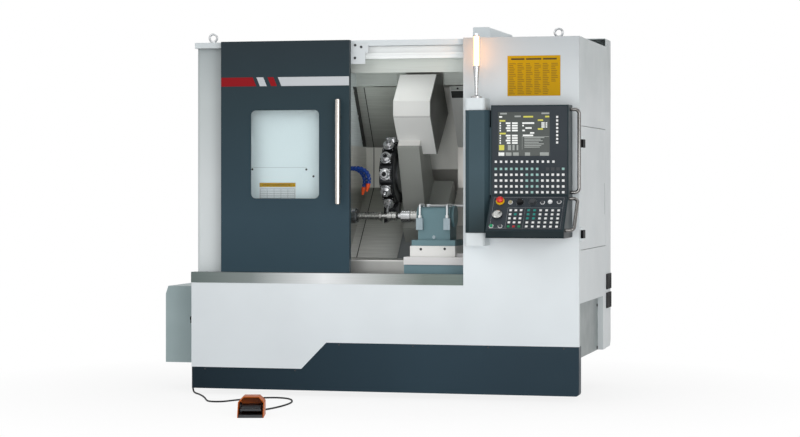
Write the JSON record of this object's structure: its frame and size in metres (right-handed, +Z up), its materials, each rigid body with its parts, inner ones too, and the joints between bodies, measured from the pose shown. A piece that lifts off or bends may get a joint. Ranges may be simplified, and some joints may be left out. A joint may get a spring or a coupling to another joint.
{
  "type": "cnc turning lathe",
  "caption": "Enclosed slant-bed turning lathe with a sliding front door, a swivelling control panel, an indexing tool turret, a tailstock with a live centre, and a foot switch on a cord.",
  "frame": {"origin": "on the floor under the middle of the machine's bounding box, without the foot switch and its cord", "axes": "+X along the spindle to the right, +Y from the front to the back, +Z up"},
  "size_m": [2.357, 2.2685, 1.975],
  "materials": {
    "white_paint": "satin powder coat",
    "slate_paint": "satin powder coat",
    "grey_paint": "satin powder coat",
    "teal_casting": "satin machine paint",
    "machine_casting": "painted casting",
    "sheet_steel": "brushed",
    "bright_steel": "polished",
    "dark_steel": "blackened",
    "black_plastic": "matte",
    "key_plastic": "matte",
    "hose_plastic": "satin",
    "red_plastic": "gloss",
    "orange_paint": "satin",
    "amber_lens": "translucent",
    "screen_glass": "gloss",
    "window_glass": "clear",
    "cord_rubber": "matte"
  },
  "bodies": {
    "machine": {"levelling_feet": "dark_steel", "base_frame": "white_paint", "slant_bed": "machine_casting", "front_cover": "white_paint", "kick_plate": "slate_paint", "end_column": "white_paint", "left_end_cover": "grey_paint", "headstock_guard": "white_paint", "door_beam": "white_paint", "ceiling_liner": "sheet_steel", "roof_cover": "white_paint", "right_side_cover": "white_paint", "lower_side_cover": "grey_paint", "sill": "sheet_steel", "spindle_wall": "sheet_steel", "chip_tray": "sheet_steel", "way_covers": "sheet_steel", "electrical_cabinet": "white_paint", "vent_grilles": "black_plastic", "lifting_eyes": "dark_steel", "headstock": "machine_casting", "spindle_motor": "machine_casting", "tailstock_bed": "teal_casting", "coolant_hoses": "hose_plastic", "pendant_brackets": "slate_paint", "lamp_stem": "dark_steel", "lamp_lens": "amber_lens", "foot_switch_base": "dark_steel", "foot_switch_guard": "orange_paint", "pedal_cord": "cord_rubber", "cord_glands": "dark_steel"},
    "door": {"door_panel": "slate_paint", "door_window": "window_glass", "door_handle": "bright_steel", "door_hangers": "dark_steel"},
    "side_access_door": {"side_door": "white_paint", "side_door_hinges": "black_plastic"},
    "pendant": {"pendant_post": "slate_paint", "pendant_housing": "slate_paint", "control_panels": "black_plastic", "screen": "screen_glass", "panel_keys": "key_plastic", "panel_handles": "bright_steel"},
    "stop_head": {"estop_button": "red_plastic"},
    "wheel": {"handwheel": "bright_steel"},
    "override": {"feed_knob": "black_plastic"},
    "main_spindle": {"spindle": "bright_steel", "workpiece": "bright_steel"},
    "carriage": {"saddle": "machine_casting", "carriage_covers": "sheet_steel"},
    "turret_carrier": {"turret_slide": "machine_casting", "turret_hood": "white_paint"},
    "turret": {"turret_disc": "dark_steel", "tool_holders": "bright_steel", "turning_tools": "dark_steel"},
    "tailstock": {"tailstock_body": "teal_casting", "tailstock_pipes": "bright_steel"},
    "tailstock_quill": {"quill": "bright_steel"},
    "centre": {"live_centre": "bright_steel"},
    "pedal": {"foot_pedal": "dark_steel"}
  },
  "joints": [
    {"name": "door_slide", "type": "slide", "parent": "machine", "child": "door", "axis": [1, 0, 0], "range_m": [0, 0.6165]},
    {"name": "side_door_swing", "type": "hinge", "parent": "machine", "child": "side_access_door", "pos_m": [1.161, -0.358, 1.1], "axis": [0, 0, -1], "range_deg": [0, 110]},
    {"name": "pendant_swivel", "type": "hinge", "parent": "machine", "child": "pendant", "pos_m": [0.6295, -0.503, 1.2], "axis": [0, 0, -1], "range_deg": [0, 90]},
    {"name": "estop_press", "type": "slide", "parent": "pendant", "child": "stop_head", "axis": [0, 0.7717, -0.636], "range_m": [0, 0.005], "stiffness_N_per_m": 1500, "springref_m": -0.004},
    {"name": "handwheel_turn", "type": "hinge", "parent": "pendant", "child": "wheel", "pos_m": [0.77118, -0.6565, 0.97234], "axis": [0, -0.7717, 0.636], "continuous": true},
    {"name": "feed_knob_turn", "type": "hinge", "parent": "pendant", "child": "override", "pos_m": [0.87982, -0.60337, 1.0368], "axis": [0, -0.7717, 0.636], "range_deg": [-135, 135]},
    {"name": "spindle_turn", "type": "hinge", "parent": "machine", "child": "main_spindle", "pos_m": [0, -0.118, 0.958], "axis": [1, 0, 0], "continuous": true},
    {"name": "carriage_slide", "type": "slide", "parent": "machine", "child": "carriage", "axis": [1, 0, 0], "range_m": [-0.04, 0.15]},
    {"name": "cross_slide", "type": "slide", "parent": "carriage", "child": "turret_carrier", "axis": [0, 0.7071, 0.7071], "range_m": [0, 0.11]},
    {"name": "turret_index", "type": "hinge", "parent": "turret_carrier", "child": "turret", "pos_m": [0, 0.10898, 1.18498], "axis": [1, 0, 0], "continuous": true},
    {"name": "tailstock_slide", "type": "slide", "parent": "machine", "child": "tailstock", "axis": [1, 0, 0], "range_m": [0, 0.25]},
    {"name": "quill_slide", "type": "slide", "parent": "tailstock", "child": "tailstock_quill", "axis": [1, 0, 0], "range_m": [0, 0.04]},
    {"name": "live_centre_turn", "type": "hinge", "parent": "tailstock_quill", "child": "centre", "pos_m": [0, -0.118, 0.958], "axis": [1, 0, 0], "continuous": true},
    {"name": "pedal_press", "type": "hinge", "parent": "machine", "child": "pedal", "pos_m": [-0.31269, -1.37781, 0.044], "axis": [0.9703, 0.2419, 0], "range_deg": [0, 5.5], "stiffness_Nm_per_rad": 8, "springref_deg": -14.32}
  ]
}
